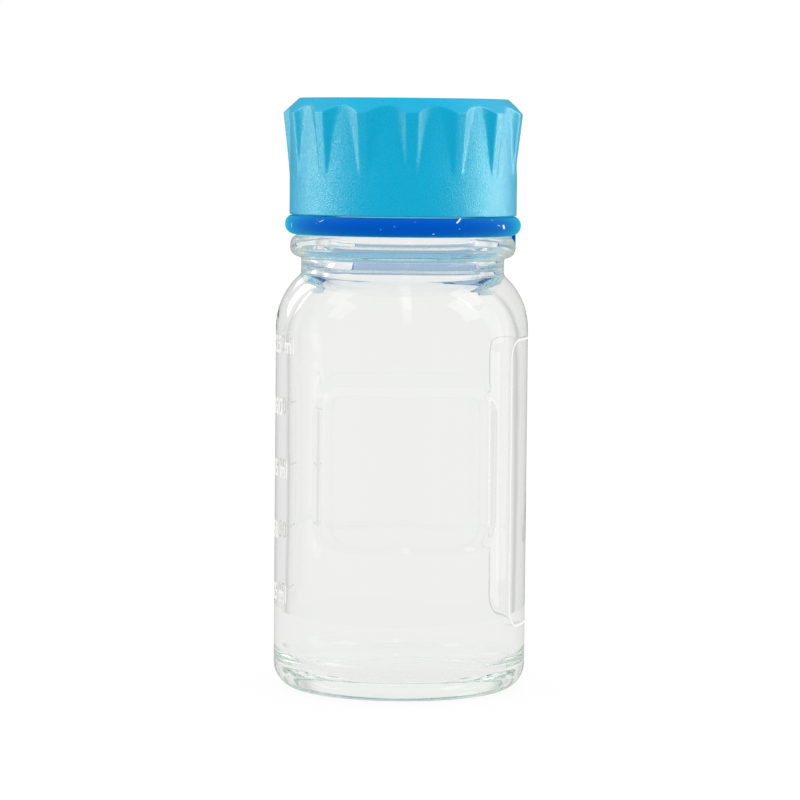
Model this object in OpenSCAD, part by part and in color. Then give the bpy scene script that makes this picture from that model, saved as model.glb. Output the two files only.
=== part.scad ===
// Reagent bottle, 125 ml, with a 45 mm screw neck, pouring ring, identification ring and screw cap.
// Millimetres. +Z is up and the origin is the centre of the base, on the surface it stands on.
// The grip recesses face -Y and +Y, the volume scale faces -X and the writing field faces +X.

/* [Bottle] */
// Outside diameter of the glass body
body_d = 54; // [50:0.5:60]
// Height of the glass, from the base to the rim
glass_h = 121.4; // [121:0.2:124]
// Thickness of the side wall
wall_t = 2.5; // [2:0.1:3]
// Height at which the shoulder starts to turn in
shoulder_z = 77.5; // [74:0.5:79]
// Radius of the shoulder's curve
shoulder_r = 15; // [13:0.5:17]
// Radius of the curve between the base and the side wall
heel_r = 5.6; // [4:0.2:8]
// Rise of the underside at its centre
punt_h = 2.4; // [1:0.2:4]

/* [Neck] */
// Outside diameter of the plain neck below the collar
neck_d = 43.4; // [43:0.1:44]
// Diameter of the pouring bore
bore_d = 31.2; // [29:0.2:33]
// Height of the centre of the transfer collar
collar_z = 95; // [94.6:0.1:95.2]
// Radius of the collar's half-round section
collar_r = 2.4; // [2:0.1:2.5]

/* [Thread] */
// Outside diameter of the glass thread
thread_d = 44.8; // [44.4:0.1:45]
// Rise of the thread in one turn
thread_pitch = 4; // [3.8:0.1:4]
// Turns of thread on the glass and in the cap
thread_turns = 1.6; // [1.2:0.1:1.9]

/* [Grip recess] */
// Width of each recess, straight across
recess_w = 38.6; // [30:0.2:40]
// Height of each recess
recess_h = 35.6; // [25:0.2:38]
// Depth of each recess
recess_t = 1; // [0.6:0.1:1.2]
// Radius of each recess's corners
recess_r = 7; // [4:0.5:9]

/* [Cap] */
// Outside diameter of the cap at its lower edge
cap_d = 48.6; // [48.5:0.1:50]
// Outside diameter of the cap at its crown
crown_d = 51.6; // [51:0.1:52]
// Height of the cap
cap_h = 24.8; // [24.6:0.1:25.5]
// Number of finger flutes
flutes = 15; // [12:1:18]
// Radius of each flute's hollow
flute_r = 6.5; // [6:0.1:7]
// Depth of each flute, measured at the edge of the crown
flute_t = 1.8; // [1.5:0.1:1.8]

/* [Hidden] */
$fn = 96;
body_r = body_d / 2;
inner_r = body_r - wall_t;

// Neck and finish
thread_t = 1.7;
finish_step = 1;
finish_h = 3.9;
neck_r = neck_d / 2;
bore_r = bore_d / 2;
root_r = thread_d / 2 - thread_t;
finish_r = root_r - finish_step;
finish_z = glass_h - finish_h;
neck_z = shoulder_z + sqrt(pow(shoulder_r, 2) - pow(neck_r - body_r + shoulder_r, 2));
rim_r = 1.1;

// Thread: where each ridge starts, its width at root and crest, and how far it is let into its wall
thread_foot_w = 2.9;
thread_crest_w = 1.1;
thread_z = 105.2;
cap_thread_foot_w = 2.5;
cap_thread_crest_w = 1;
cap_thread_z = 103.2;
cap_thread_r = thread_d / 2 - 1.25;
thread_sink = 0.4;

// Base and floor
foot_r = body_r - heel_r;
foot_w = 3.6;
floor_z = 4.2;
floor_rise = 1.8;
floor_heel_r = 5;

// Grip recesses
recess_z = 31;

// Print, a fired enamel that stands proud of the glass
print_t = 0.08;
mark_w = 0.45;
mark_l = 8;
step_ml = 25;
steps = 5;
first_mark_z = 21.2;
step_z = step_ml * 1000 / (PI * pow(inner_r, 2));
mark_azimuth = -99;
numeral_h = 3.85;
numeral_w = 2.1;
numeral_gap = 0.6;
numeral_start = -87.5;
unit_w = 2.7;
unit_h = 2.65;
space_w = 1.1;
field_w = 32;
field_z = 14.5;
field_gap = 1.6;
field_h = shoulder_z - field_gap - field_z;
field_r = 4;
field_line = 0.45;

// Pouring ring
ring_gap = 0.05;
pour_r = root_r - 0.1;
pour_in_r = bore_r + 0.3;
pour_z = glass_h + 0.1;
flange_t = 0.7;
lip_h = 1.45;
lip_top_w = 0.35;
lip_foot_w = 1.3;
lip_z = pour_z + lip_h;

// Cap and liner
cap_z = 101.6;
cap_top = cap_z + cap_h;
cap_r = cap_d / 2;
crown_r = crown_d / 2;
bevel_w = 3.5;
bevel_h = 3.2;
drum_h = 8.3;
crown_edge_r = crown_r - bevel_w;
flare_z = cap_z + drum_h;
crown_z = cap_top - bevel_h;
core_r = cap_r - 0.15;
ridge_azimuth = 1.1;
thread_gap = 0.35;
skirt_r = thread_d / 2 + thread_gap;
mouth_bevel = 0.5;
seat_r = skirt_r - 1.05;
seat_z = cap_top - 7;
retainer_t = 0.6;
liner_gap = 0.05;
liner_t = 1.4;
liner_z = lip_z + liner_gap;
ceiling_z = liner_z + liner_t + liner_gap;
liner_r = seat_r - 0.35;

// Identification ring
id_z = 99.55;
id_r = 2.2;
id_out_r = 25.25;
id_top = cap_z - 0.2;
id_in_r = root_r + 0.3;
id_web_h = 3.2;
lug_gap = 0.4;
lug_in_r = neck_r + collar_r + lug_gap;
lug_t = 1.4;
lug_azimuth = 159;
lug_span = 107;
lug_z = 92.6;
lug_corner_r = 2.4;

// Points on an arc about [cx, cy] from angle a to angle b.
function arc(cx, cy, r, a, b, n = 12) =
    [for (i = [0:n]) let (t = a + (b - a) * i / n) [cx + r * cos(t), cy + r * sin(t)]];

// Unit normal of the path at point i, on its left side.
function path_normal(path, i) =
    let (p = path[max(i - 1, 0)], q = path[min(i + 1, len(path) - 1)], d = q - p)
    [-d[1], d[0]] / norm(d);

// A line of width w along a path.
module stroke(path, w) {
    left = [for (i = [0:len(path) - 1]) path[i] + path_normal(path, i) * w / 2];
    right = [for (i = [len(path) - 1:-1:0]) path[i] - path_normal(path, i) * w / 2];
    polygon(concat(left, right));
}

// How far a thread stands out at angle a: it fades in and out over its first and last 40 degrees.
function thread_share(a, turns) = max(0.04, min(1, a / 40, (turns * 360 - a) / 40));

// A helical ridge from radius foot to radius crest, with its own width at each.
module helix(foot, crest, foot_w, crest_w, z, turns, steps = 36) {
    n = round(turns * steps);
    rings = [for (i = [0:n])
        let (a = turns * 360 * i / n, s = thread_share(a, turns), r = foot + (crest - foot) * s,
             m = z + thread_pitch * a / 360, w = crest_w / 2 + (foot_w - crest_w) / 2 * (1 - s))
        each [for (p = [[foot, -foot_w / 2], [r, -w], [r, w], [foot, foot_w / 2]])
            [p[0] * cos(a), p[0] * sin(a), m + p[1]]]];
    turn = crest > foot ? [0, 2, 1] : [0, 1, 2];
    sides = [for (i = [0:n - 1], k = [0:3])
        let (a = 4 * i + k, b = 4 * i + (k + 1) % 4)
        each [[a, a + 4, b], [b, a + 4, b + 4]]];
    ends = [[0, 1, 2], [0, 2, 3], [4 * n, 4 * n + 2, 4 * n + 1], [4 * n, 4 * n + 3, 4 * n + 2]];
    polyhedron(rings, [for (f = concat(sides, ends)) [f[turn[0]], f[turn[1]], f[turn[2]]]]);
}

// Carries its children, drawn facing +X at azimuth 0, round to an azimuth counted from -Y towards +X.
module at_azimuth(azimuth) {
    rotate([0, 0, azimuth - 90]) children();
}

// Wraps a flat shape, drawn as it is read from outside, onto the body at one azimuth and height.
module printed(azimuth, z) {
    intersection() {
        at_azimuth(azimuth) translate([0, 0, z]) rotate([90, 0, 90])
            linear_extrude(body_r + 2) children();
        sleeve(body_r, print_t);
    }
}

// A plain tube as tall as the glass, to cut a curved piece from.
module sleeve(r, t) {
    difference() {
        cylinder(h = glass_h, r = r + t);
        translate([0, 0, -1]) cylinder(h = glass_h + 2, r = r);
    }
}

module rounded_rect(w, h, r) {
    translate([-w / 2 + r, 0]) square([w - 2 * r, h]);
    translate([-w / 2, r]) square([w, h - 2 * r]);
    for (x = [-w / 2 + r, w / 2 - r], y = [r, h - r]) translate([x, y]) circle(r);
}

// Half of the glass's section, from the underside round to the bore.
module glass_section() {
    dome_r = (pow(foot_r - foot_w, 2) + pow(punt_h, 2)) / (2 * punt_h);
    floor_edge = inner_r - floor_heel_r;
    floor_dome_r = (pow(floor_edge, 2) + pow(floor_rise, 2)) / (2 * floor_rise);
    difference() {
        union() {
            translate([0, heel_r]) square([body_r, shoulder_z - heel_r]);
            square([foot_r, heel_r]);
            translate([foot_r, heel_r]) circle(heel_r);
            intersection() {
                translate([body_r - shoulder_r, shoulder_z]) circle(shoulder_r);
                translate([0, shoulder_z]) square([body_r, neck_z - shoulder_z]);
            }
            translate([0, shoulder_z]) square([neck_r, collar_z - shoulder_z]);
            translate([neck_r, collar_z]) circle(collar_r);
            translate([0, collar_z]) square([neck_r, collar_r]);
            translate([0, collar_z]) square([root_r, finish_z - collar_z]);
            translate([0, finish_z - 1]) square([finish_r, glass_h - rim_r - finish_z + 1]);
            translate([bore_r + rim_r, glass_h - rim_r]) square([finish_r - bore_r - 2 * rim_r, rim_r]);
            for (x = [bore_r + rim_r, finish_r - rim_r])
                translate([x, glass_h - rim_r]) circle(rim_r);
        }
        translate([0, punt_h - dome_r]) circle(dome_r, $fn = 360);
        translate([-body_r, -1]) square([body_r, glass_h + 2]);
        cavity_section(floor_edge, floor_dome_r);
    }
}

// Half of the cavity's section: domed floor, side wall, inner shoulder and pouring bore.
module cavity_section(floor_edge, floor_dome_r) {
    inner_shoulder_z = shoulder_z - 2;
    inner_shoulder_r = shoulder_r - 1;
    throat_z = collar_z + 2;
    throat_foot_z = neck_z + 1;
    throat_r = neck_r - 4.2;
    difference() {
        union() {
            translate([0, floor_z]) square([floor_edge, floor_heel_r]);
            translate([floor_edge, floor_z + floor_heel_r]) circle(floor_heel_r);
            translate([0, floor_z + floor_heel_r])
                square([inner_r, inner_shoulder_z - floor_z - floor_heel_r]);
            intersection() {
                translate([inner_r - inner_shoulder_r, inner_shoulder_z]) circle(inner_shoulder_r);
                translate([0, inner_shoulder_z]) square([inner_r, throat_foot_z - inner_shoulder_z]);
            }
            polygon([[0, inner_shoulder_z], [throat_r, inner_shoulder_z], [throat_r, throat_foot_z],
                     [bore_r, throat_z], [bore_r, throat_z + 1], [0, throat_z + 1]]);
        }
        translate([0, floor_z + floor_rise - floor_dome_r]) circle(floor_dome_r, $fn = 360);
    }
    translate([0, throat_z]) square([bore_r, glass_h - rim_r - throat_z]);
    translate([0, glass_h - rim_r - 0.01]) square([bore_r, rim_r + 1]);
}

module glass_bottle() {
    color([0.93, 0.96, 0.95, 0.35]) difference() {
        union() {
            rotate_extrude() glass_section();
            helix(root_r - thread_sink, thread_d / 2, thread_foot_w, thread_crest_w, thread_z, thread_turns);
        }
        for (azimuth = [0, 180]) grip_recess(azimuth);
    }
}

// The tool for one recess: a rounded block that stops at the recess's curved floor.
module grip_recess(azimuth) {
    difference() {
        at_azimuth(azimuth) translate([0, 0, recess_z]) rotate([90, 0, 90])
            linear_extrude(body_r + 2) rounded_rect(recess_w, recess_h, recess_r);
        cylinder(h = glass_h, r = body_r - recess_t);
    }
}

// Height of mark i, counted from 1.
function mark_height(i) = first_mark_z + step_z * (i - 1);

// One line for each step of volume.
module graduation_marks() {
    color("white") for (i = [1:steps])
        printed(mark_azimuth, mark_height(i)) square([mark_l, mark_w], center = true);
}

// Digits and the unit, each drawn with lines of one width.
module glyph(c) {
    w = numeral_w;
    h = numeral_h;
    r = w / 2;
    pen = mark_w;
    if (c == "0") difference() {
        polygon([for (a = [0:15:345]) [r + r * cos(a), h / 2 + h / 2 * sin(a)]]);
        polygon([for (a = [0:15:345]) [r + (r - pen) * cos(a), h / 2 + (h / 2 - pen) * sin(a)]]);
    }
    if (c == "1") {
        flag = 0.8;
        translate([w - pen, 0]) square([pen, h]);
        polygon([[w - pen, h], [w - pen, h - flag], [w / 4, h - 2 * flag], [w / 4, h - flag]]);
    }
    if (c == "2") {
        stroke(concat(arc(r, h - r, r - pen / 2, 170, -35), [[pen / 2, pen / 2]]), pen);
        square([w, pen]);
    }
    if (c == "5") {
        bowl = 1.24;
        stem = 1.9;
        translate([pen / 2, h - pen]) square([w - pen, pen]);
        translate([pen / 2, h - stem]) square([pen, stem]);
        stroke(arc(w - bowl, bowl, bowl - pen / 2, 125, -140), pen);
    }
    if (c == "7") {
        translate([0, h - pen]) square([w, pen]);
        polygon([[w, h - pen], [w - pen, h - pen], [pen, 0], [2 * pen, 0]]);
    }
    if (c == "l") square([pen, h]);
    if (c == "m") {
        arch = (unit_w + pen) / 4;
        pitch = 2 * arch - pen;
        square([pen, unit_h]);
        for (i = [0, 1]) {
            translate([(i + 1) * pitch, 0]) square([pen, unit_h - arch]);
            stroke(arc(i * pitch + arch, unit_h - arch, arch - pen / 2, 180, 0), pen);
        }
    }
}

// Width of a character with the gap after it.
function advance(c) = c == " " ? space_w : c == "l" ? mark_w + numeral_gap
    : c == "m" ? unit_w + numeral_gap : numeral_w + numeral_gap;

// Distance from the start of a label to its character i.
function offset_of(label, i) = i == 0 ? 0 : offset_of(label, i - 1) + advance(label[i - 1]);

// Each mark's volume, with the unit on every second one.
function label_of(i) = str(i * step_ml, i % 2 == 1 ? " ml" : "");

module graduation_numerals() {
    color("white") for (k = [1:steps]) {
        label = label_of(k);
        for (i = [0:len(label) - 1]) if (label[i] != " ") {
            half = advance(label[i]) / 2;
            turn = (offset_of(label, i) + half) * 180 / (PI * body_r);
            printed(numeral_start + turn, mark_height(k))
                translate([-half, -numeral_h / 2]) glyph(label[i]);
        }
    }
}

// A thin line round the field, with rounded corners, that follows the glass.
module writing_field_border() {
    flat_w = 2 * body_r * sin(field_w / body_r * 90 / PI);
    inset_w = flat_w - 2 * field_line;
    color("white") printed(90, field_z) difference() {
        rounded_rect(flat_w, field_h, field_r);
        translate([0, field_line]) rounded_rect(inset_w, field_h - 2 * field_line, field_r - field_line);
    }
}

// A ring pressed over the finish, with a raised lip that lets the last drop fall clear.
module pouring_ring() {
    skirt_in_r = finish_r + ring_gap;
    skirt_z = finish_z + 0.4;
    flange_z = pour_z + flange_t;
    color("deepskyblue") rotate_extrude() polygon([[skirt_in_r, skirt_z], [pour_r, skirt_z],
        [pour_r, flange_z], [pour_in_r + lip_foot_w, flange_z], [pour_in_r + lip_top_w, lip_z],
        [pour_in_r, lip_z], [pour_in_r, pour_z], [skirt_in_r, pour_z]]);
}

// A soft ring that turns on the neck, with a lug that hangs over the collar.
module id_ring() {
    color("blue") {
        rotate_extrude() difference() {
            union() {
                translate([id_out_r - id_r, id_z]) circle(id_r);
                translate([id_in_r, id_z - id_web_h / 2]) square([id_out_r - id_r - id_in_r, id_web_h]);
            }
            translate([id_out_r - 2 * id_r - 1, id_top]) square([2 * id_r + 2, id_r]);
            translate([0, id_z - 2 * id_r]) square([id_in_r, 4 * id_r]);
        }
        id_lug();
    }
}

module id_lug() {
    half_w = (lug_in_r + lug_t) * sin(lug_span / 2);
    intersection() {
        at_azimuth(lug_azimuth) translate([0, 0, lug_z]) rotate([90, 0, 90])
            linear_extrude(body_r + 2) rounded_rect(2 * half_w, id_z - lug_z, lug_corner_r);
        sleeve(lug_in_r, lug_t);
    }
}

// A soft disc that stays on the lip while the cap turns, and lifts with the cap.
module cap_liner() {
    color("white") translate([0, 0, liner_z]) cylinder(h = liner_t, r = liner_r);
}

// Outside of the cap: a plain drum, and a flared crown cut into ridges by the flutes.
module cap_outside() {
    lean = atan((crown_r - cap_r) / (crown_z - flare_z));
    flute_l = 1.5 * (cap_top - flare_z);
    rotate_extrude() polygon([[0, cap_z], [cap_r, cap_z], [cap_r, flare_z], [core_r, flare_z + 2],
        [core_r, crown_z + 1.6], [crown_edge_r, cap_top], [0, cap_top]]);
    difference() {
        rotate_extrude() polygon([[0, flare_z - 1], [cap_r, flare_z], [crown_r, crown_z],
                                  [crown_edge_r, cap_top], [0, cap_top]]);
        for (k = [0:flutes - 1]) at_azimuth(ridge_azimuth + (k + 0.5) * 360 / flutes)
            translate([crown_r - flute_t + flute_r, 0, crown_z]) rotate([0, lean, 0])
                cylinder(h = 2 * flute_l, r = flute_r, center = true);
    }
}

// Inside of the cap: mouth, threaded bore, and the seat that holds the liner.
module cap_inside() {
    mouth_r = skirt_r + mouth_bevel;
    retainer_r = seat_r - retainer_t;
    retainer_z = liner_z - 1;
    rotate_extrude() polygon([[0, cap_z - 1], [mouth_r, cap_z - 1], [mouth_r, cap_z],
        [skirt_r, cap_z + mouth_bevel], [skirt_r, seat_z - 1], [seat_r, seat_z], [seat_r, retainer_z - 0.5],
        [retainer_r, retainer_z], [retainer_r, retainer_z + 0.3], [seat_r, retainer_z + 0.8],
        [seat_r, ceiling_z], [0, ceiling_z]]);
}

module screw_cap() {
    color("deepskyblue") {
        difference() {
            cap_outside();
            cap_inside();
        }
        helix(skirt_r + thread_sink, cap_thread_r, cap_thread_foot_w, cap_thread_crest_w, cap_thread_z,
              thread_turns);
    }
}

glass_bottle();
graduation_marks();
graduation_numerals();
writing_field_border();
pouring_ring();
id_ring();
cap_liner();
screw_cap();
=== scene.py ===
"""Looks for a small reagent bottle: glass, fired print, pouring ring, neck ring, liner and screw cap.

Lengths are in millimetres until a mesh is made, and Blender's meshes are in metres.
Angles round the bottle are counted from +X towards +Y, unless a name says azimuth, which is counted from -Y
towards +X.
"""
import math

import bmesh
import bpy
from mathutils import Matrix, Vector


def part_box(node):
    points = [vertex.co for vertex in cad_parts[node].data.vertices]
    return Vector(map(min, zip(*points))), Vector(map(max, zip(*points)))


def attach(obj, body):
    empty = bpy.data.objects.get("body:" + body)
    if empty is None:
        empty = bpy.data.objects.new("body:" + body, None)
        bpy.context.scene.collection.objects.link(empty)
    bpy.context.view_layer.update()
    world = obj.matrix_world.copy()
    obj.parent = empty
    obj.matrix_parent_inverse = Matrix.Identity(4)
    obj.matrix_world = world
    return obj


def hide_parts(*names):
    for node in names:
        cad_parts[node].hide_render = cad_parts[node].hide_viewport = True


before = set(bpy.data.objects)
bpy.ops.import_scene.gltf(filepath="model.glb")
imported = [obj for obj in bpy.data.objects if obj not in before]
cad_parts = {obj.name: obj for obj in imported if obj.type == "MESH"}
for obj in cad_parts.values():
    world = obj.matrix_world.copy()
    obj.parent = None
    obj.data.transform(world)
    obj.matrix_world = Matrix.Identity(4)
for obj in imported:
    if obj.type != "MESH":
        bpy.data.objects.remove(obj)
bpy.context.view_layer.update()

MM = 0.001


def box_mm(node):
    """Lowest and highest corner of a CAD node, in millimetres."""
    low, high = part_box(node)
    return low / MM, high / MM


# ---------------------------------------------------------------- sizes from the frame
glass_high = box_mm("glass_bottle")[1]
cap_low, cap_high = box_mm("screw_cap")
ring_low, ring_high = box_mm("id_ring")
liner_low, liner_high = box_mm("cap_liner")
lip_low, lip_high = box_mm("pouring_ring")

BODY_R = glass_high.y
RIM_Z = glass_high.z
CAP_Z = cap_low.z
CAP_TOP = cap_high.z

# ---------------------------------------------------------------- glass
WALL = 2.5
HEEL_R = 5.6
FOOT_R = BODY_R - HEEL_R
FOOT_W = 3.4
PUNT = 2.4
SHOULDER_Z = 77.5
SHOULDER_R = 15.0
NECK_R = 21.7
COLLAR_Z = 95.0
COLLAR_R = 2.4
THREAD_R = 22.4
ROOT_R = 20.7
FINISH_R = 19.7
FINISH_Z = RIM_Z - 3.9
BORE_R = 15.6
FLOOR_Z = 4.2
PITCH = 4.0
TURNS = 1.6
THREAD_FADE = math.radians(38)
THREAD_Z = 105.2
THREAD_CREST_W = 1.1
THREAD_FOOT_W = 2.6
SEGMENTS = 240


def lerp(a, b, t):
    return a + (b - a) * t


def smooth(t):
    t = min(1.0, max(0.0, t))
    return t * t * (3 - 2 * t)


def soft_max(a, b, k):
    """The larger of a and b, with a blend k wide where they cross."""
    h = min(1.0, max(0.0, 0.5 + (a - b) / (2 * k)))
    return lerp(b, a, h) + k * h * (1 - h)


def soft_min(a, b, k):
    return -soft_max(-a, -b, k)


def arc(centre_r, centre_z, radius, start, end, steps=24):
    """Points on an arc, in degrees from +r towards +z."""
    points = []
    for i in range(steps + 1):
        a = math.radians(lerp(start, end, i / steps))
        points.append((centre_r + radius * math.cos(a), centre_z + radius * math.sin(a)))
    return points


def rounded(corners, steps=10):
    """A path through corners of (r, z, fillet radius), each corner rounded by its fillet."""
    path = [corners[0][:2]]
    for before, corner, after in zip(corners, corners[1:], corners[2:]):
        p, q, s = Vector(before[:2]), Vector(corner[:2]), Vector(after[:2])
        u, v = (p - q).normalized(), (s - q).normalized()
        turn = math.pi - u.angle(v)
        if corner[2] <= 0 or turn < 0.01:
            path.append(tuple(q))
            continue
        reach = corner[2] * math.tan(turn / 2)
        middle = q + (u + v).normalized() * (corner[2] / math.cos(turn / 2))
        first, last = q + u * reach - middle, q + v * reach - middle
        for i in range(steps + 1):
            t = i / steps
            path.append(tuple(middle + first.slerp(last, t) * corner[2]))
    path.append(corners[-1][:2])
    return path


def fine(path, longest):
    """The same path with no step longer than a limit, and no repeated points."""
    out = [path[0]]
    for p in path[1:]:
        q = out[-1]
        length = math.dist(p, q)
        if length < 1e-4:
            continue
        n = max(1, math.ceil(length / longest))
        out.extend((lerp(q[0], p[0], i / n), lerp(q[1], p[1], i / n)) for i in range(1, n + 1))
    return out


def mesh_object(name, points, faces, material):
    """A smooth mesh object from points in millimetres."""
    mesh = bpy.data.meshes.new(name)
    mesh.from_pydata([(x * MM, y * MM, z * MM) for x, y, z in points], [], faces)
    mesh.validate()
    mesh.update()
    mesh.materials.append(material)
    mesh.polygons.foreach_set("use_smooth", [True] * len(mesh.polygons))
    made = bpy.data.objects.new(name, mesh)
    bpy.context.scene.collection.objects.link(made)
    return made


def lathe(name, path, material, segments=SEGMENTS, shape=None):
    """Turns a path of (r, z) about the axis.

    Points at r = 0 become poles, and shape(angle, r, z, i) may move r and z.
    """
    points, rows = [], []
    for i, (r, z) in enumerate(path):
        if r < 1e-6:
            rows.append([len(points)] * segments)
            points.append((0, 0, z))
            continue
        rows.append(range(len(points), len(points) + segments))
        for k in range(segments):
            angle = 2 * math.pi * k / segments
            place_r, place_z = shape(angle, r, z, i) if shape else (r, z)
            points.append((place_r * math.cos(angle), place_r * math.sin(angle), place_z))
    faces = []
    pairs = list(zip(rows, rows[1:]))
    if math.dist(path[0], path[-1]) > 1e-6 and path[0][0] > 1e-6:
        pairs.append((rows[-1], rows[0]))
    for low, high in pairs:
        for k in range(segments):
            n = (k + 1) % segments
            corners = [low[k], low[n], high[n], high[k]]
            faces.append([c for j, c in enumerate(corners) if c != corners[j - 1]])
    return mesh_object(name, points, faces, material)


def thread_rise(angle, z, start_z, crest_w, foot_w):
    """How far a thread stands out here, from 0 to 1, fading in and out at its ends."""
    rise = 0.0
    end = TURNS * 2 * math.pi
    for lap in range(math.ceil(TURNS)):
        a = angle + lap * 2 * math.pi
        if a > end:
            continue
        away = abs(z - start_z - PITCH * a / (2 * math.pi))
        side = smooth((foot_w / 2 - away) / (foot_w / 2 - crest_w / 2))
        fade = smooth(min(a, end - a) / THREAD_FADE)
        rise = max(rise, side * fade)
    return rise


# ---------------------------------------------------------------- materials
def material(name, **sockets):
    """A Principled material with constant values set on its own sockets."""
    made = bpy.data.materials.new(name)
    made.use_nodes = True
    shader = made.node_tree.nodes["Principled BSDF"]
    for socket, value in sockets.items():
        shader.inputs[socket.replace("_", " ")].default_value = value
    return made


def node(made, kind, links=(), **values):
    """Adds a node; links is a list of (socket, from node, its output), values set sockets or properties."""
    new = made.node_tree.nodes.new(kind)
    for key, value in values.items():
        if hasattr(new, key):
            setattr(new, key, value)
        else:
            new.inputs[key.replace("_", " ")].default_value = value
    for socket, source, output in links:
        made.node_tree.links.new(source.outputs[output], new.inputs[socket])
    return new


def shader_of(made):
    return made.node_tree.nodes["Principled BSDF"]


def link(made, source, output, target, socket):
    made.node_tree.links.new(source.outputs[output], target.inputs[socket])


def object_place(made):
    return node(made, "ShaderNodeTexCoord")


def bump(made, height, output, strength, distance):
    """Feeds a height into the shader's normal."""
    links = [("Height", height, output)]
    new = node(made, "ShaderNodeBump", links, Strength=strength, Distance=distance * MM)
    link(made, new, "Normal", shader_of(made), "Normal")


def glass_material():
    """Borosilicate glass, with a slight green tint in its depth and slow waves in its surface."""
    made = material("clear_glass", Base_Color=(0.996, 1, 0.992, 1), Roughness=0.0, IOR=1.473,
                    Transmission_Weight=1.0)
    place = object_place(made)
    waves = node(made, "ShaderNodeTexNoise", [("Vector", place, "Object")], Scale=90.0, Detail=1.0)
    bump(made, waves, "Fac", 0.06, 0.6)
    absorb = node(made, "ShaderNodeVolumeAbsorption", Color=(0.56, 0.82, 0.52, 1), Density=1.5)
    output = made.node_tree.nodes["Material Output"]
    link(made, absorb, "Volume", output, "Volume")
    return made


def plastic_material(name, colour, roughness, grain, depth, glow=0.0):
    """Moulded plastic: a fine spark-eroded grain, with slight drifts of colour and gloss.

    A glow stands for the light that a translucent wall lets through.
    """
    made = material(name, Base_Color=(*colour, 1), Roughness=roughness, IOR=1.49,
                    Specular_Tint=(0.66, 1.0, 0.55, 1), Emission_Color=(0.4, 0.76, 0.9, 1),
                    Emission_Strength=glow)
    place = object_place(made)
    drift = node(made, "ShaderNodeTexNoise", [("Vector", place, "Object")], Scale=60.0, Detail=2.0)
    darker = tuple(c * 0.93 for c in colour)
    ramp = node(made, "ShaderNodeMix", [("Factor", drift, "Fac")], data_type="RGBA")
    ramp.inputs[6].default_value = (*darker, 1)
    ramp.inputs[7].default_value = (*colour, 1)
    link(made, ramp, 2, shader_of(made), "Base Color")
    gloss = node(made, "ShaderNodeMapRange", [("Value", drift, "Fac")])
    gloss.inputs["To Min"].default_value = roughness - 0.04
    gloss.inputs["To Max"].default_value = roughness + 0.05
    link(made, gloss, "Result", shader_of(made), "Roughness")
    skin = node(made, "ShaderNodeTexNoise", [("Vector", place, "Object")], Scale=grain, Detail=3.0,
                Roughness=0.6)
    bump(made, skin, "Fac", depth, 0.1)
    sparkle = node(made, "ShaderNodeMapRange", [("Value", skin, "Fac")])
    sparkle.inputs["From Min"].default_value = 0.40
    sparkle.inputs["From Max"].default_value = 0.60
    sparkle.inputs["To Min"].default_value = 0.08
    sparkle.inputs["To Max"].default_value = 0.29
    link(made, sparkle, "Result", shader_of(made), "Specular IOR Level")
    return made


def silicone_material(name, glow=0.0):
    """Dark blue silicone, which is satin and gathers pale dust. A glow stands for light let through."""
    colour = (0.0, 0.075, 0.49)
    made = material(name, Base_Color=(*colour, 1), Roughness=0.45, IOR=1.41, Specular_IOR_Level=0.14,
                    Specular_Tint=(0.1, 0.5, 1.0, 1), Sheen_Weight=1.0, Sheen_Roughness=0.45,
                    Sheen_Tint=(0.0, 0.85, 1.0, 1), Emission_Color=(0.62, 0.82, 0.92, 1),
                    Emission_Strength=glow)
    place = object_place(made)
    specks = node(made, "ShaderNodeTexVoronoi", [("Vector", place, "Object")], Scale=900.0)
    near = node(made, "ShaderNodeMapRange", [("Value", specks, "Distance")])
    near.inputs["From Min"].default_value = 0.16
    near.inputs["From Max"].default_value = 0.10
    patches = node(made, "ShaderNodeTexNoise", [("Vector", place, "Object")], Scale=220.0, Detail=2.0)
    some = node(made, "ShaderNodeMapRange", [("Value", patches, "Fac")])
    some.inputs["From Min"].default_value = 0.54
    some.inputs["From Max"].default_value = 0.62
    dust = node(made, "ShaderNodeMath", [(0, near, "Result"), (1, some, "Result")], operation="MULTIPLY")
    mixed = node(made, "ShaderNodeMix", [("Factor", dust, "Value")], data_type="RGBA")
    mixed.inputs[6].default_value = (*colour, 1)
    mixed.inputs[7].default_value = (0.45, 0.62, 0.85, 1)
    link(made, mixed, 2, shader_of(made), "Base Color")
    bump(made, patches, "Fac", 0.15, 0.05)
    return made


def enamel_material():
    """Fired white enamel, a little chalky and uneven. It gives off light, because it looked grey without."""
    made = material("white_enamel", Base_Color=(0.5, 0.5, 0.5, 1), Roughness=0.5, IOR=1.45,
                    Specular_IOR_Level=0.3, Emission_Color=(1.0, 1.0, 0.98, 1), Emission_Strength=0.47)
    place = object_place(made)
    chalk = node(made, "ShaderNodeTexNoise", [("Vector", place, "Object")], Scale=2600.0, Detail=2.0)
    tone = node(made, "ShaderNodeMix", [("Factor", chalk, "Fac")], data_type="RGBA")
    tone.inputs[6].default_value = (0.40, 0.42, 0.40, 1)
    tone.inputs[7].default_value = (0.54, 0.54, 0.53, 1)
    link(made, tone, 2, shader_of(made), "Base Color")
    bump(made, chalk, "Fac", 0.3, 0.02)
    return made


def liner_material():
    """Pale translucent silicone. Its glow stands for light that comes through the cap."""
    made = material("pale_silicone", Base_Color=(0.7, 0.82, 0.86, 1), Roughness=0.5, IOR=1.41,
                    Subsurface_Weight=0.3, Subsurface_Scale=0.001,
                    Emission_Color=(0.6, 0.85, 0.95, 1), Emission_Strength=0.45)
    place = object_place(made)
    cloud = node(made, "ShaderNodeTexNoise", [("Vector", place, "Object")], Scale=400.0, Detail=3.0)
    bump(made, cloud, "Fac", 0.2, 0.05)
    return made


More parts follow.
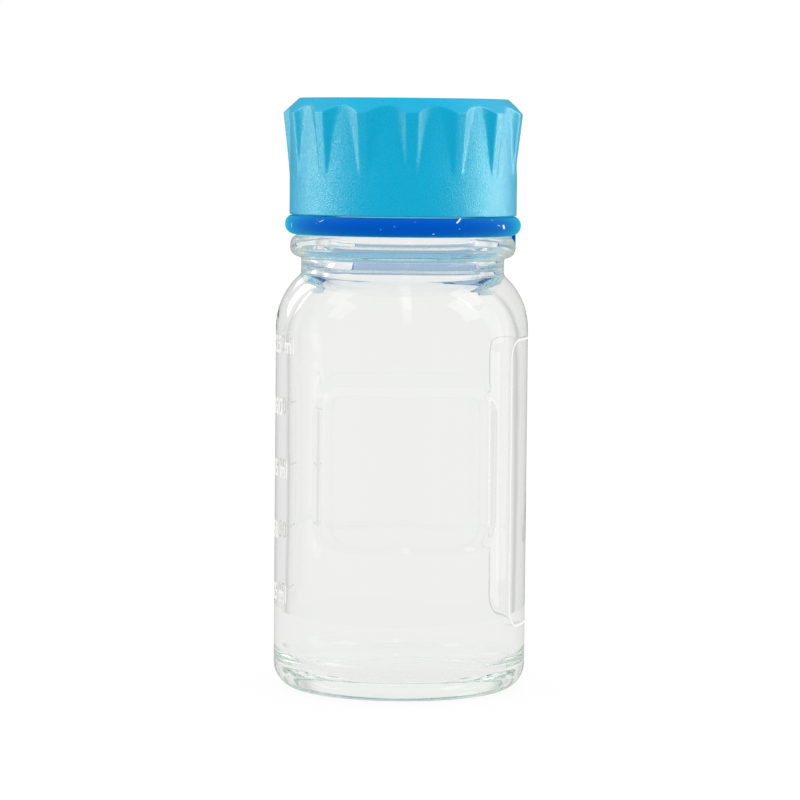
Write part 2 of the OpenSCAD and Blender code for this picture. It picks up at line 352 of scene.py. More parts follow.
def lint_material():
    made = material("lint", Base_Color=(0.88, 0.88, 0.86, 1), Roughness=0.9)
    place = object_place(made)
    fibre = node(made, "ShaderNodeTexNoise", [("Vector", place, "Object")], Scale=3000.0)
    bump(made, fibre, "Fac", 0.4, 0.02)
    return made


FLOOR_SEEN = 0.94
FLOOR_THROUGH = 0.82
FLOOR_MIRRORED = 0.5


def floor_material():
    """A plain pale floor that is dark in itself and bright by its glow.

    The glow is strongest where the camera sees the floor directly, less through glass, and least in
    reflections.
    """
    made = material("pale_floor", Base_Color=(0.05, 0.05, 0.05, 1), Roughness=0.9, Specular_IOR_Level=0.0)
    shader_of(made).inputs["Emission Color"].default_value = (1, 1, 1, 1)
    ray = node(made, "ShaderNodeLightPath")
    reflected = node(made, "ShaderNodeMath", [(0, ray, "Is Glossy Ray"), (1, ray, "Is Transmission Ray")],
                     operation="SUBTRACT", use_clamp=True)
    bent = node(made, "ShaderNodeMapRange", [("Value", reflected, "Value")])
    bent.inputs["To Min"].default_value = FLOOR_THROUGH
    bent.inputs["To Max"].default_value = FLOOR_MIRRORED
    glow = node(made, "ShaderNodeMix", [("Factor", ray, "Is Camera Ray"), ("A", bent, "Result")])
    glow.inputs["B"].default_value = FLOOR_SEEN
    link(made, glow, "Result", shader_of(made), "Emission Strength")
    return made


# ---------------------------------------------------------------- glass shape
RECESS_LOW = 31.0
RECESS_HIGH = 66.6
RECESS_HALF = math.radians(45.6)
RECESS_DEPTH = 1.0
RECESS_SLOPE = 2.6
RECESS_CORNER = 7.0

# The inner wall's unevenness: two slow waves round it, and how far the recesses bulge inwards.
WAVE_TWO = 0.10
WAVE_THREE = 0.06
INNER_RECESS = 0.55


def recess_share(angle, z):
    """How deep a point is in either grip recess, from 0 at the edge to 1 on its floor."""
    from_front = abs((angle + math.pi / 2 + math.pi) % (2 * math.pi) - math.pi)
    off_centre = min(from_front, math.pi - from_front)
    across = off_centre * BODY_R - RECESS_HALF * BODY_R + RECESS_CORNER
    middle = (RECESS_LOW + RECESS_HIGH) / 2
    along = abs(z - middle) - (RECESS_HIGH - RECESS_LOW) / 2 + RECESS_CORNER
    outside = math.hypot(max(across, 0), max(along, 0)) + min(max(across, along), 0) - RECESS_CORNER
    return smooth(-outside / RECESS_SLOPE)


def outer_glass():
    """The outside, from the middle of the underside up to the top of the rim."""
    edge = FOOT_R - FOOT_W
    dome_r = (edge ** 2 + PUNT ** 2) / (2 * PUNT)
    tilt = math.degrees(math.asin(edge / dome_r))
    path = arc(0, PUNT - dome_r, dome_r, 90, 90 - tilt + 1.5, 20)
    path += rounded([path[-1] + (0,), (edge, 0, 0.8), (FOOT_R - 1.5, 0, 0)], 8)[1:]
    path += arc(FOOT_R, HEEL_R, HEEL_R, -90, 0, 28)
    sweep = math.degrees(math.acos((NECK_R + 1.0 - BODY_R + SHOULDER_R) / SHOULDER_R))
    shoulder = arc(BODY_R - SHOULDER_R, SHOULDER_Z, SHOULDER_R, 0, sweep, 30)
    path += shoulder
    last = shoulder[-1]
    path += rounded([
        last + (0,),
        (NECK_R, last[1] + 0.95, 1.2),
        (NECK_R, COLLAR_Z - COLLAR_R, 0.7),
        (NECK_R + COLLAR_R, COLLAR_Z - COLLAR_R, 2.0),
        (NECK_R + COLLAR_R, COLLAR_Z + COLLAR_R, 2.2),
        (ROOT_R, COLLAR_Z + COLLAR_R, 0.6),
        (ROOT_R, FINISH_Z, 0.4),
        (FINISH_R, FINISH_Z, 0.3),
        (FINISH_R, RIM_Z, 1.2),
        ((FINISH_R + BORE_R) / 2, RIM_Z, 0),
    ])[1:]
    return path


def inner_glass():
    """The inside, from the rim down the bore and wall to the middle of the floor."""
    inner_r = BODY_R - WALL
    shoulder_r = SHOULDER_R - 1
    shoulder_z = SHOULDER_Z - 2
    throat_r = NECK_R - 4.2
    sweep = math.degrees(math.acos((throat_r + 0.9 - inner_r + shoulder_r) / shoulder_r))
    shoulder = arc(inner_r - shoulder_r, shoulder_z, shoulder_r, sweep, 0, 30)
    path = rounded([
        ((FINISH_R + BORE_R) / 2, RIM_Z, 0),
        (BORE_R, RIM_Z, 1.2),
        (BORE_R, COLLAR_Z + 2, 5.0),
        (throat_r, shoulder[0][1] + 1.2, 2.5),
        shoulder[0] + (0,),
    ])[1:]
    path += shoulder
    floor_edge = inner_r - 5.0
    rise = 1.8
    dome_r = (floor_edge ** 2 + rise ** 2) / (2 * rise)
    path += arc(floor_edge, FLOOR_Z + 5.0, 5.0, 0, -90 + 10.5, 20)
    tilt = math.degrees(math.asin(floor_edge / dome_r))
    path += arc(0, FLOOR_Z + rise - dome_r, dome_r, 90 - tilt, 90, 20)
    return path


def make_glass(finish):
    outer = fine(outer_glass(), 0.5)
    path = fine(outer + inner_glass(), 0.7)
    outer_count = len(fine(outer, 0.7))

    def shape(angle, r, z, i):
        side = smooth((z - HEEL_R) / 6) * smooth((SHOULDER_Z - z) / 6)
        if i < outer_count:
            if RECESS_LOW < z < RECESS_HIGH:
                r -= RECESS_DEPTH * recess_share(angle, z)
            if z > COLLAR_Z + COLLAR_R + 0.5 and r > ROOT_R - 0.05:
                rise = thread_rise(angle, z, THREAD_Z, THREAD_CREST_W, THREAD_FOOT_W)
                r += (THREAD_R - ROOT_R) * rise
            return r, z
        swell = WAVE_TWO * math.sin(angle * 2 + z * 0.031) + WAVE_THREE * math.sin(angle * 3 - z * 0.07 + 1.3)
        bulge = INNER_RECESS * recess_share(angle, lerp(z, (RECESS_LOW + RECESS_HIGH) / 2, 0.12))
        return r - side * (WAVE_TWO + WAVE_THREE + swell + bulge), z

    return lathe("glass_body", path, finish, shape=shape)


# ---------------------------------------------------------------- print
PRINT_LOW = BODY_R + 0.015
PRINT_HIGH = BODY_R + 0.07
MARK_AZIMUTH = -99.0
MARK_L = 8.0
MARK_W = 0.45
NUMERAL_H = 3.85
NUMERAL_START = -87.5
STEP_ML = 25
STEPS = 5


def wrap(name, loops_mesh, azimuth, z, finish):
    """Bends a flat mesh (x along the print, y up) onto the glass as a thin shell."""
    shell = bmesh.new()
    shell.from_mesh(loops_mesh)
    bmesh.ops.triangulate(shell, faces=shell.faces[:])
    made = bmesh.ops.extrude_face_region(shell, geom=shell.faces[:])
    raised = {v for v in made["geom"] if isinstance(v, bmesh.types.BMVert)}
    for v in shell.verts:
        r = PRINT_HIGH if v in raised else PRINT_LOW
        a = math.radians(azimuth - 90) + v.co.x / BODY_R
        v.co = Vector((r * math.cos(a), r * math.sin(a), z + v.co.y)) * MM
    bmesh.ops.recalc_face_normals(shell, faces=shell.faces[:])
    mesh = bpy.data.meshes.new(name)
    shell.to_mesh(mesh)
    shell.free()
    mesh.materials.append(finish)
    made = bpy.data.objects.new(name, mesh)
    bpy.context.scene.collection.objects.link(made)
    return made


def join(name, objects):
    """One object out of several."""
    bpy.ops.object.select_all(action="DESELECT")
    for o in objects:
        o.select_set(True)
    bpy.context.view_layer.objects.active = objects[0]
    bpy.ops.object.join()
    objects[0].name = name
    return objects[0]


def bar(length, width):
    """A flat bar with round ends, cut into strips so that it can bend."""
    flat = bmesh.new()
    cuts = 16
    previous = None
    for i in range(cuts + 1):
        x = lerp(-length / 2, length / 2, i / cuts)
        from_end = length / 2 - abs(x)
        half = width / 2 * (1.0 if from_end > width / 2 else 0.75)
        pair = (flat.verts.new((x, -half, 0)), flat.verts.new((x, half, 0)))
        if previous:
            flat.faces.new((previous[0], pair[0], pair[1], previous[1]))
        previous = pair
    mesh = bpy.data.meshes.new("bar")
    flat.to_mesh(mesh)
    flat.free()
    return mesh


DIGIT_W = 2.1
LETTER_W = {" ": 0.5, "m": 2.7, "l": 0.45}
LETTER_GAP = 0.6


def label_width(words):
    """Width of a label: each character's own width and the gaps between them."""
    return sum(LETTER_W.get(c, DIGIT_W) for c in words) + LETTER_GAP * (len(words) - 1)


def label_mesh(words, height):
    """Letters as a flat mesh, with their left-hand end at x = 0 and their middle at y = 0."""
    curve = bpy.data.curves.new("label", "FONT")
    curve.body = words
    curve.size = height * 1.38
    curve.resolution_u = 4
    curve.space_character = 1.12
    shown = bpy.data.objects.new("label", curve)
    bpy.context.scene.collection.objects.link(shown)
    bpy.context.view_layer.update()
    mesh = bpy.data.meshes.new_from_object(shown)
    bpy.data.objects.remove(shown)
    left = min(v.co.x for v in mesh.vertices)
    stretch = label_width(words) / (max(v.co.x for v in mesh.vertices) - left)
    for v in mesh.vertices:
        v.co.x = (v.co.x - left) * stretch
        v.co.y -= height / 2
    return mesh


def scale_heights():
    """Heights of the scale's lines, from the CAD marks' box."""
    low, high = box_mm("graduation_marks")
    first, last = low.z + MARK_W / 2, high.z - MARK_W / 2
    return [lerp(first, last, k / (STEPS - 1)) for k in range(STEPS)]


def make_marks(finish):
    bars = [wrap("mark", bar(MARK_L, MARK_W), MARK_AZIMUTH, z, finish) for z in scale_heights()]
    return join("scale_marks", bars)


def make_numerals(finish):
    labels = []
    for k, z in enumerate(scale_heights()):
        words = str((k + 1) * STEP_ML) + ("" if k % 2 else " ml")
        labels.append(wrap("numeral", label_mesh(words, NUMERAL_H), NUMERAL_START, z, finish))
    return join("scale_numerals", labels)


def make_border(finish):
    low, high = box_mm("writing_field_border")
    half_w = BODY_R * math.asin(high.y / BODY_R)
    line = 0.45
    corner = 4.0
    inset = corner - line
    flat = bmesh.new()
    outline = []
    for cx, cy, start in ((1, 1, 0), (-1, 1, 90), (-1, -1, 180), (1, -1, 270)):
        centre = (cx * (half_w - corner), cy * ((high.z - low.z) / 2 - corner))
        for i in range(9):
            a = math.radians(start + i * 90 / 8)
            outline.append((centre, a))
    dense = []
    for (c, a), (d, b) in zip(outline, outline[1:] + outline[:1]):
        p = (c[0] + corner * math.cos(a), c[1] + corner * math.sin(a))
        q = (d[0] + corner * math.cos(b), d[1] + corner * math.sin(b))
        n = max(1, math.ceil(math.dist(p, q) / 1.2))
        for i in range(n):
            t = i / n
            centre = (lerp(c[0], d[0], t), lerp(c[1], d[1], t))
            dense.append((centre, lerp(a, b if b >= a else b + 2 * math.pi, t)))
    outside, inside = (
        [flat.verts.new((c[0] + r * math.cos(a), c[1] + r * math.sin(a), 0)) for c, a in dense]
        for r in (corner, inset)
    )
    for i in range(len(dense)):
        n = (i + 1) % len(dense)
        flat.faces.new((outside[i], outside[n], inside[n], inside[i]))
    mesh = bpy.data.meshes.new("border")
    flat.to_mesh(mesh)
    flat.free()
    return wrap("field_border", mesh, 90, (low.z + high.z) / 2, finish)


# ---------------------------------------------------------------- cap
FLUTES = 15
FLUTE_R = 6.5
FLUTE_DEPTH = 1.8
RIDGE_AZIMUTH = 1.1
DRUM_R = 24.3
CORE_R = 24.15
CROWN_R = 25.8
CROWN_EDGE_R = 22.3
FLARE_Z = CAP_Z + 8.3
CROWN_Z = CAP_TOP - 3.2
SKIRT_R = 22.75
CAP_THREAD_R = 21.15
CAP_THREAD_Z = 103.2
CAP_THREAD_CREST_W = 1.0
CAP_THREAD_FOOT_W = 2.3
SEAT_R = 21.7
CAP_SEGMENTS = 480


def flute_radius(angle, flare_r):
    """Radius of the fluted surface here, where the flare would be at flare_r."""
    period = 2 * math.pi / FLUTES
    ridge = math.radians(RIDGE_AZIMUTH - 90)
    off = (angle - ridge) % period - period / 2
    centre = flare_r - FLUTE_DEPTH + FLUTE_R
    sideways = centre * math.sin(off)
    if abs(sideways) >= FLUTE_R:
        return flare_r
    hollow = centre * math.cos(off) - math.sqrt(FLUTE_R ** 2 - sideways ** 2)
    return soft_min(flare_r, hollow, 0.22)


def cap_outer():
    path = rounded([
        (SKIRT_R + 0.7, CAP_Z, 0),
        (DRUM_R, CAP_Z, 0.25),
        (DRUM_R, FLARE_Z, 40),
        (CROWN_R, CROWN_Z, 0.35),
        (CROWN_EDGE_R, CAP_TOP, 0.7),
        (20.5, CAP_TOP, 0.1),
        (20.2, CAP_TOP - 0.12, 0.1),
        (2.6, CAP_TOP - 0.12, 0.1),
        (2.4, CAP_TOP - 0.3, 0.1),
        (0, CAP_TOP - 0.3, 0),
    ], 6)
    return list(reversed(path))


def make_cap(finish, glowing_inside):
    outer = fine(cap_outer(), 0.3)
    count = len(outer)
    seat_z = CAP_TOP - 7
    hold_z = liner_low.z
    ceiling_z = liner_high.z + 0.05
    inner = rounded([
        (SKIRT_R + 0.7, CAP_Z, 0),
        (SKIRT_R + 0.3, CAP_Z + 0.1, 0.15),
        (SKIRT_R, CAP_Z + 0.7, 0.4),
        (SKIRT_R, seat_z - 1, 0.4),
        (SEAT_R, seat_z, 0.4),
        (SEAT_R, hold_z - 1.5, 0.2),
        (SEAT_R - 0.6, hold_z - 1.0, 0.15),
        (SEAT_R - 0.6, hold_z - 0.7, 0.15),
        (SEAT_R, hold_z - 0.2, 0.1),
        (SEAT_R, ceiling_z, 0.3),
        (2.0, ceiling_z, 0),
        (0, ceiling_z, 0),
    ], 4)
    path = outer + fine(inner, 0.3)[1:]

    def shape(angle, r, z, i):
        if i < count:
            if z > FLARE_Z - 1.0 and r > CROWN_EDGE_R - 1.0:
                flare = DRUM_R + (CROWN_R - DRUM_R) * (z - FLARE_Z) / (CROWN_Z - FLARE_Z)
                drum = DRUM_R if z < FLARE_Z else soft_max(CORE_R, DRUM_R - 0.06 * (z - FLARE_Z), 0.1)
                fluted = soft_max(drum, flute_radius(angle, flare), 0.12)
                edge = lerp(0.01, 0.3, smooth((z - FLARE_Z) / 4))
                return min(r, soft_min(r, fluted, edge)), z
            return r, z
        if CAP_Z + 0.6 < z < seat_z - 1.2 and r > SKIRT_R - 0.05:
            rise = thread_rise(angle, z, CAP_THREAD_Z, CAP_THREAD_CREST_W, CAP_THREAD_FOOT_W)
            r -= (SKIRT_R - CAP_THREAD_R) * rise
        return r, z

    made = lathe("cap_shell", path, finish, segments=CAP_SEGMENTS, shape=shape)
    # The inner faces take a glowing material: painted light that stands for light coming through the cap's
    # wall.
    made.data.materials.append(glowing_inside)
    for face in made.data.polygons[count * CAP_SEGMENTS:]:
        face.material_index = 1
    return made


# ---------------------------------------------------------------- rings and liner
RING_SECTION_R = 2.2
RING_CENTRE_R = ring_high.x - RING_SECTION_R
RING_CENTRE_Z = ring_high.z - 1.85
RING_INSIDE_R = 22.9
RING_INSIDE_Z = RING_CENTRE_Z + 1.2


def make_neck_ring(finish, glowing_inside):
    """The soft ring, a round section with a flat top. The faces towards the neck take a glowing material:
    painted light that stands for light let through the ring.
    """
    section, centre_r, centre_z = RING_SECTION_R, RING_CENTRE_R, RING_CENTRE_Z
    top = ring_high.z
    inner_r = ROOT_R + 0.3
    flat = math.degrees(math.asin((top - centre_z) / section))
    path = rounded([
        (inner_r, centre_z + 1.5, 0),
        (inner_r, top, 0.35),
        (centre_r + section * math.cos(math.radians(flat)), top, 0.2),
        arc(centre_r, centre_z, section, flat - 12, flat - 12, 1)[0] + (0,),
    ], 5)
    path += arc(centre_r, centre_z, section, flat - 14, -110, 30)
    path += rounded([path[-1] + (0,), (inner_r, centre_z - 1.6, 0.4), (inner_r, centre_z + 1.4, 0)], 5)[1:]
    made = lathe("neck_ring", fine(path, 0.5), finish, segments=200)
    made.data.materials.append(glowing_inside)
    # Faces near the neck get the glowing material, which is painted light.
    for face in made.data.polygons:
        if face.center.xy.length < RING_INSIDE_R * MM and face.center.z < RING_INSIDE_Z * MM:
            face.material_index = 1
    return made


LUG_GAP = 0.4
LUG_T = 1.4
LUG_AZIMUTH = 159.0
LUG_SPAN = 107.0
LUG_EDGE = 0.35
RIB_PITCH = 2.4
RIB_DEPTH = 0.22


def make_lug(finish, glowing_inside):
    """The ring's hanging lug, a curved tab with round corners, soft edges and ribs on its inner face."""
    inner_r = NECK_R + COLLAR_R + LUG_GAP
    outer_r = inner_r + LUG_T
    low_z, high_z = ring_low.z, ring_high.z - 1.9
    half_w = outer_r * math.sin(math.radians(LUG_SPAN / 2))
    corner = 2.4
    tab = bmesh.new()
    columns, rows_n = 144, 14
    grid = []
    for i in range(columns + 1):
        across = lerp(-half_w, half_w, i / columns)
        column = []
        inward = max(0.0, abs(across) - half_w + corner)
        lift = corner - math.sqrt(max(0.0, corner ** 2 - inward ** 2))
        for j in range(rows_n + 1):
            column.append((across, lerp(low_z + lift, high_z - lift * 0.5, j / rows_n)))
        grid.append(column)
    sides = {}
    for side, r in ((0, inner_r), (1, outer_r)):
        for i, column in enumerate(grid):
            for j, (across, z) in enumerate(column):
                a = math.radians(LUG_AZIMUTH - 90) + math.asin(across / outer_r)
                edge = i in (0, columns) or j in (0, rows_n)
                groove = RIB_DEPTH * max(0.0, math.sin(2 * math.pi * across / RIB_PITCH)) * (0 < j < rows_n)
                near = r - LUG_EDGE * edge if side else r + max(LUG_EDGE * edge, groove)
                sides[side, i, j] = tab.verts.new(Vector((near * math.cos(a), near * math.sin(a), z)) * MM)
    for side in (0, 1):
        for i in range(columns):
            for j in range(rows_n):
                around = ((i, j), (i + 1, j), (i + 1, j + 1), (i, j + 1))
                # The inner face takes the glowing material (painted light), and the outer face the plain
                # silicone.
                tab.faces.new([sides[side, k, m] for k, m in around]).material_index = 1 - side
    rim = [(i, 0) for i in range(columns)] + [(columns, j) for j in range(rows_n)]
    rim += [(i, rows_n) for i in range(columns, 0, -1)] + [(0, j) for j in range(rows_n, 0, -1)]
    for (i, j), (k, m) in zip(rim, rim[1:] + rim[:1]):
        tab.faces.new((sides[0, i, j], sides[0, k, m], sides[1, k, m], sides[1, i, j]))
    bmesh.ops.remove_doubles(tab, verts=tab.verts[:], dist=1e-6)
    bmesh.ops.recalc_face_normals(tab, faces=tab.faces[:])
    mesh = bpy.data.meshes.new("ring_lug")
    tab.to_mesh(mesh)
    tab.free()
    mesh.polygons.foreach_set("use_smooth", [True] * len(mesh.polygons))
    mesh.materials.append(finish)
    mesh.materials.append(glowing_inside)
    made = bpy.data.objects.new("ring_lug", mesh)
    bpy.context.scene.collection.objects.link(made)
    return made


# Stray fibres on the ring: azimuth, height, length, tilt and thickness.
FIBRES = (
    (25.0, 101.0, 1.7, 40.0, 0.34),
    (54.0, 99.6, 0.8, -60.0, 0.6),
    (-46.0, 100.6, 1.2, 20.0, 0.10),
    (-72.0, 99.4, 0.9, 70.0, 0.10),
    (50.0, 99.9, 0.8, -15.0, 0.12),
    (12.0, 98.2, 0.4, 10.0, 0.16),
    (160.0, 99.8, 1.5, 35.0, 0.12),
    (-120.0, 99.2, 1.1, -30.0, 0.14),
)


def make_lint(finish):
    """A few bits of fluff that cling to the ring, each a short bent fibre."""
    fibres = []
    for number, (azimuth, z, length, tilt, thick) in enumerate(FIBRES):
        curve = bpy.data.curves.new("fibre", "CURVE")
        curve.dimensions = "3D"
        curve.bevel_depth = thick / 2 * MM
        curve.bevel_resolution = 2
        curve.use_fill_caps = True
        spline = curve.splines.new("POLY")
        spline.points.add(6)
        for i, point in enumerate(spline.points):
            t = i / 6 - 0.5
            bend = 0.25 * length * (0.25 - t * t)
            along = t * length * math.cos(math.radians(tilt)) + bend * math.sin(math.radians(tilt))
            up = t * length * math.sin(math.radians(tilt)) - bend * math.cos(math.radians(tilt))
            height = min(1.7, max(-2.0, z + up - RING_CENTRE_Z))
            r = RING_CENTRE_R + math.sqrt(RING_SECTION_R ** 2 - height ** 2) - thick * 0.1
            a = math.radians(azimuth - 90) + along / r
            point.co = (r * math.cos(a) * MM, r * math.sin(a) * MM, (RING_CENTRE_Z + height) * MM, 1)
        shown = bpy.data.objects.new(f"fibre_{number}", curve)
        bpy.context.scene.collection.objects.link(shown)
        bpy.context.view_layer.update()
        mesh = bpy.data.meshes.new_from_object(shown)
        bpy.data.objects.remove(shown)
        mesh.materials.clear()
        mesh.materials.append(finish)
        piece = bpy.data.objects.new(f"fibre_{number}", mesh)
        bpy.context.scene.collection.objects.link(piece)
        fibres.append(piece)
    return join("ring_lint", fibres)


def make_pouring_ring(finish):
    low_z, top_z = lip_low.z, lip_high.z
    outer_r = lip_high.x
    hollow_r = BORE_R + 0.3
    skirt_r = FINISH_R + 0.08
    seat_z = RIM_Z + 0.1
    path = rounded([
        (skirt_r, seat_z - 1, 0),
        (skirt_r, seat_z, 0.1),
        (hollow_r, seat_z, 0.2),
        (hollow_r, top_z, 0.12),
        (hollow_r + 0.35, top_z, 0.15),
        (hollow_r + 1.3, seat_z + 0.7, 0.8),
        (outer_r, seat_z + 0.7, 0.4),
        (outer_r, low_z, 0.25),
        (skirt_r, low_z, 0.2),
        (skirt_r, seat_z - 1.2, 0),
    ], 6)
    return lathe("pour_ring", fine(path, 0.4), finish, segments=160)


def make_liner(finish):
    radius = liner_high.x
    low_z, high_z = liner_low.z, liner_high.z
    path = rounded([
        (0, low_z, 0),
        (14.6, low_z, 0.1),
        (14.8, low_z + 0.15, 0.1),
        (19.4, low_z + 0.15, 0.1),
        (19.6, low_z, 0.1),
        (radius, low_z, 0.25),
        (radius, high_z, 0.25),
        (0, high_z, 0),
    ], 4)
    return lathe("sealing_disc", fine(path, 0.8), finish, segments=160)


# ---------------------------------------------------------------- stage, lights and camera
VIEW_DISTANCE = 800.0
VIEW_HEIGHT = 118.0
VIEW_AZIMUTH = -2.9
VIEW_PITCH = 0.07
VIEW_ROLL = 0.0095
VIEW_ASIDE = 0.00035
LENS = 168.1
FRAME_WIDTH = 36.0
BOUNCES = 96


def make_camera():
    data = bpy.data.cameras.new("camera")
    data.sensor_width = FRAME_WIDTH
    data.lens = LENS
    data.clip_start = 0.01
    data.clip_end = 20
    camera = bpy.data.objects.new("camera", data)
    bpy.context.scene.collection.objects.link(camera)
    a = math.radians(VIEW_AZIMUTH)
    camera.location = Vector((math.sin(a), -math.cos(a), 0)) * VIEW_DISTANCE * MM
    camera.location.z = VIEW_HEIGHT * MM
    look = Vector((-math.sin(a), math.cos(a), -math.tan(VIEW_PITCH))).normalized()
    turned = look.to_track_quat("-Z", "Y").to_matrix().to_4x4()
    aside = Matrix.Rotation(VIEW_ASIDE, 4, "Y")
    roll = Matrix.Rotation(VIEW_ROLL, 4, "Z")
    camera.matrix_world = Matrix.Translation(camera.location) @ turned @ aside @ roll
    bpy.context.scene.camera = camera


def make_floor(finish):
    floor = lathe("floor", [(r, -0.02) for r in (0, 50, 100, 150)], finish, segments=96)


SHEEN_AZIMUTH = 96.0
SHEEN_LEFT = 12.0
SHEEN_RIGHT = 15.5
SHEEN_ELEVATION = 14
SHEEN_W = 620
SHEEN_H = 800
LIGHT_DISTANCE = 700
LIGHT_CENTRE_Z = 70


def softbox(name, azimuth, elevation, width, height, radiance):
    """An area light that faces the bottle from an azimuth and elevation."""
    data = bpy.data.lights.new(name, "AREA")
    data.shape = "RECTANGLE"
    data.size = width * MM
    data.size_y = height * MM
    data.energy = radiance * math.pi * data.size * data.size_y
    light = bpy.data.objects.new(name, data)
    bpy.context.scene.collection.objects.link(light)
    a, e = math.radians(azimuth), math.radians(elevation)
    out = Vector((math.sin(a) * math.cos(e), -math.cos(a) * math.cos(e), math.sin(e)))
    light.location = Vector((0, 0, LIGHT_CENTRE_Z * MM)) + out * LIGHT_DISTANCE * MM
    light.rotation_mode = "QUATERNION"
    light.rotation_quaternion = (-out).to_track_quat("-Z", "Y")
    return light


# Brightness of the surroundings by the angle from straight behind the bottle, in degrees, level with it: what
# is seen through the glass, and what the surfaces mirror. High up, each goes over to its own zenith level.
SEEN_THROUGH = ((0, 0.90), (33, 0.89), (41, 0.62), (52, 0.85), (70, 0.92), (110, 0.92), (180, 0.88))
MIRRORED = ((0, 0.32), (30, 0.36), (45, 0.22), (110, 0.25), (135, 0.22), (180, 0.22))
ZENITH_THROUGH = 0.95
ZENITH_MIRRORED = 0.2
FILL_LEVEL = 1.0
FILL_ZENITH = 1.6
BACKDROP = 1.02

# Smaller lights for the glass alone: name, azimuth, elevation, width, height and radiance. They also show
# through the glass when they stand behind it.
GLINTS = (
    ("overhead_strip", 3, 62, 90, 700, 1.1),
    ("high_left", -80, 44, 200, 260, 1.1),
    ("high_right", 80, 44, 240, 300, 1.5),
    ("rear_left", -155, 26, 120, 240, 1.0),
    ("right_window", 102, 14, 200, 620, 0.65),
)


def world_node(tree, kind, links=(), **values):
    """Adds a node to the world; links is a list of (input, from node, its output)."""
    new = tree.nodes.new(kind)
    for key, value in values.items():
        setattr(new, key, value)
    for socket, source, output in links:
        tree.links.new(source.outputs[output], new.inputs[socket])
    return new


def brightness_ramp(tree, source, stops):
    """A ramp from an angle, as a share of half a turn, to a brightness."""
    ramp = world_node(tree, "ShaderNodeValToRGB", [("Fac", source, "Value")])
    elements = ramp.color_ramp.elements
    for number, (degrees, level) in enumerate(stops):
        place = degrees / 180
        element = elements[number] if number < 2 else elements.new(place)
        element.position = place
        element.color = (level, level, level, 1)
    return ramp


def blend_levels(tree, share, output, low, high):
    """Goes from low to high as share goes from 0 to 1. Each level is a number or a (node, output)."""
    mix = world_node(tree, "ShaderNodeMix", [("Factor", share, output)], clamp_factor=True)
    for socket, level in (("A", low), ("B", high)):
        if isinstance(level, tuple):
            tree.links.new(level[0].outputs[level[1]], mix.inputs[socket])
        else:
            mix.inputs[socket].default_value = level
    return mix, "Result"


def make_world():
    """The surroundings, which differ for the camera, through glass, in reflections and as fill light."""
    world = bpy.data.worlds.new("white_tent")
    bpy.context.scene.world = world
    world.cycles.sampling_method = "NONE"
    world.use_nodes = True
    tree = world.node_tree
    back = tree.nodes["Background"]
    back.inputs["Color"].default_value = (1, 1, 1, 1)
    place = world_node(tree, "ShaderNodeTexCoord")
    parts = world_node(tree, "ShaderNodeSeparateXYZ", [(0, place, "Generated")])
    across = world_node(tree, "ShaderNodeMath", [(0, parts, "X")], operation="ABSOLUTE")
    turn = world_node(tree, "ShaderNodeMath", [(0, across, "Value"), (1, parts, "Y")], operation="ARCTAN2")
    share = world_node(tree, "ShaderNodeMath", [(0, turn, "Value")], operation="DIVIDE")
    share.inputs[1].default_value = math.pi
    high = world_node(tree, "ShaderNodeMapRange", [("Value", parts, "Z")], interpolation_type="SMOOTHSTEP")
    high.inputs["From Min"].default_value = 0.3
    high.inputs["From Max"].default_value = 0.9
    through_ramp = (brightness_ramp(tree, share, SEEN_THROUGH), "Color")
    through = blend_levels(tree, high, "Result", through_ramp, ZENITH_THROUGH)
    mirrored_ramp = (brightness_ramp(tree, share, MIRRORED), "Color")
    mirrored = blend_levels(tree, high, "Result", mirrored_ramp, ZENITH_MIRRORED)
    fill = blend_levels(tree, high, "Result", FILL_LEVEL, FILL_ZENITH)
    path = world_node(tree, "ShaderNodeLightPath")
    kinds = [(0, path, "Is Glossy Ray"), (1, path, "Is Transmission Ray")]
    reflected = world_node(tree, "ShaderNodeMath", kinds, operation="SUBTRACT", use_clamp=True)
    bent = blend_levels(tree, reflected, "Value", through, mirrored)
    lit = blend_levels(tree, path, "Is Diffuse Ray", bent, fill)
    shown = blend_levels(tree, path, "Is Camera Ray", lit, BACKDROP)
    tree.links.new(shown[0].outputs[shown[1]], back.inputs["Strength"])


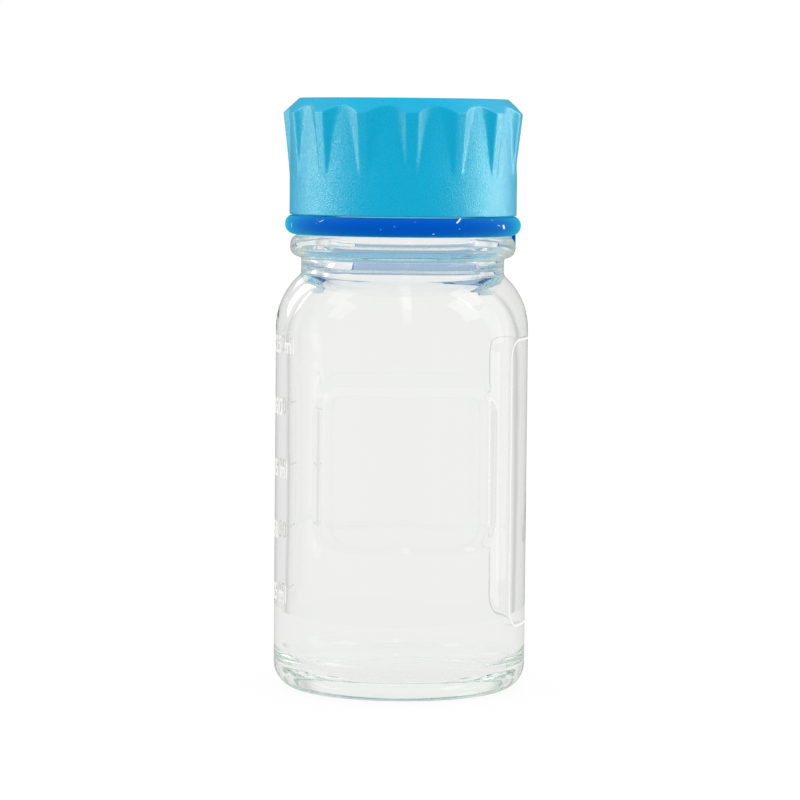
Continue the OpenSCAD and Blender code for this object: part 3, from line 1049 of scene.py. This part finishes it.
def main():
    glass = glass_material()
    enamel = enamel_material()
    cyan = plastic_material("cyan_plastic", (0.0, 0.39, 0.64), 0.38, 3000.0, 1.0)
    # The inside materials glow: painted light that stands for light let through the translucent cap and ring.
    glowing_inner_cyan = plastic_material("cyan_plastic_inside_glow", (0.0, 0.34, 0.55), 0.45, 2600.0, 0.3, glow=0.58)
    lip_cyan = plastic_material("lip_plastic", (0.0, 0.35, 0.58), 0.42, 2600.0, 0.3)
    silicone = silicone_material("blue_silicone")
    glowing_inner_silicone = silicone_material("blue_silicone_inside_glow", glow=0.55)

    pieces = (
        (make_glass(glass), "bottle", ["glass_bottle"], "glass"),
        (make_marks(enamel), "bottle", ["graduation_marks"], "enamel"),
        (make_numerals(enamel), "bottle", ["graduation_numerals"], "enamel"),
        (make_border(enamel), "bottle", ["writing_field_border"], "enamel"),
        (make_pouring_ring(lip_cyan), "bottle", ["pouring_ring"], "ring_plastic"),
        (make_neck_ring(silicone, glowing_inner_silicone), "id_ring", ["id_ring"], "silicone"),
        (make_lug(silicone, glowing_inner_silicone), "id_ring", [], "silicone"),
        (make_lint(lint_material()), "id_ring", [], "silicone"),
        (make_liner(liner_material()), "liner", ["cap_liner"], "liner"),
        (make_cap(cyan, glowing_inner_cyan), "cap", ["screw_cap"], "cap_plastic"),
    )
    for piece, body, nodes, slot in pieces:
        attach(piece, body)
        if nodes:
            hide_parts(*nodes)

    coloured = bpy.data.collections.new("coloured_pieces")
    for piece, _, _, slot in pieces:
        if slot == "cap_plastic":
            coloured.objects.link(piece)
    make_floor(floor_material())
    make_world()
    for side, radiance in (("left", SHEEN_LEFT), ("right", SHEEN_RIGHT)):
        azimuth = SHEEN_AZIMUTH * (1 if side == "right" else -1)
        box = softbox(f"{side}_box", azimuth, SHEEN_ELEVATION, SHEEN_W, SHEEN_H, radiance)
        box.visible_diffuse = False
        box.light_linking.receiver_collection = coloured
    clear = bpy.data.collections.new("clear_pieces")
    clear.objects.link(pieces[0][0])
    for name, azimuth, elevation, width, height, radiance in GLINTS:
        box = softbox(name, azimuth, elevation, width, height, radiance)
        box.light_linking.receiver_collection = clear
    make_camera()

    scene = bpy.context.scene
    scene.view_settings.view_transform = "Standard"
    # Thick glass turns black where a path is cut short, so the limits are high.
    scene.cycles.max_bounces = BOUNCES
    scene.cycles.transmission_bounces = BOUNCES
    scene.cycles.glossy_bounces = BOUNCES


main()
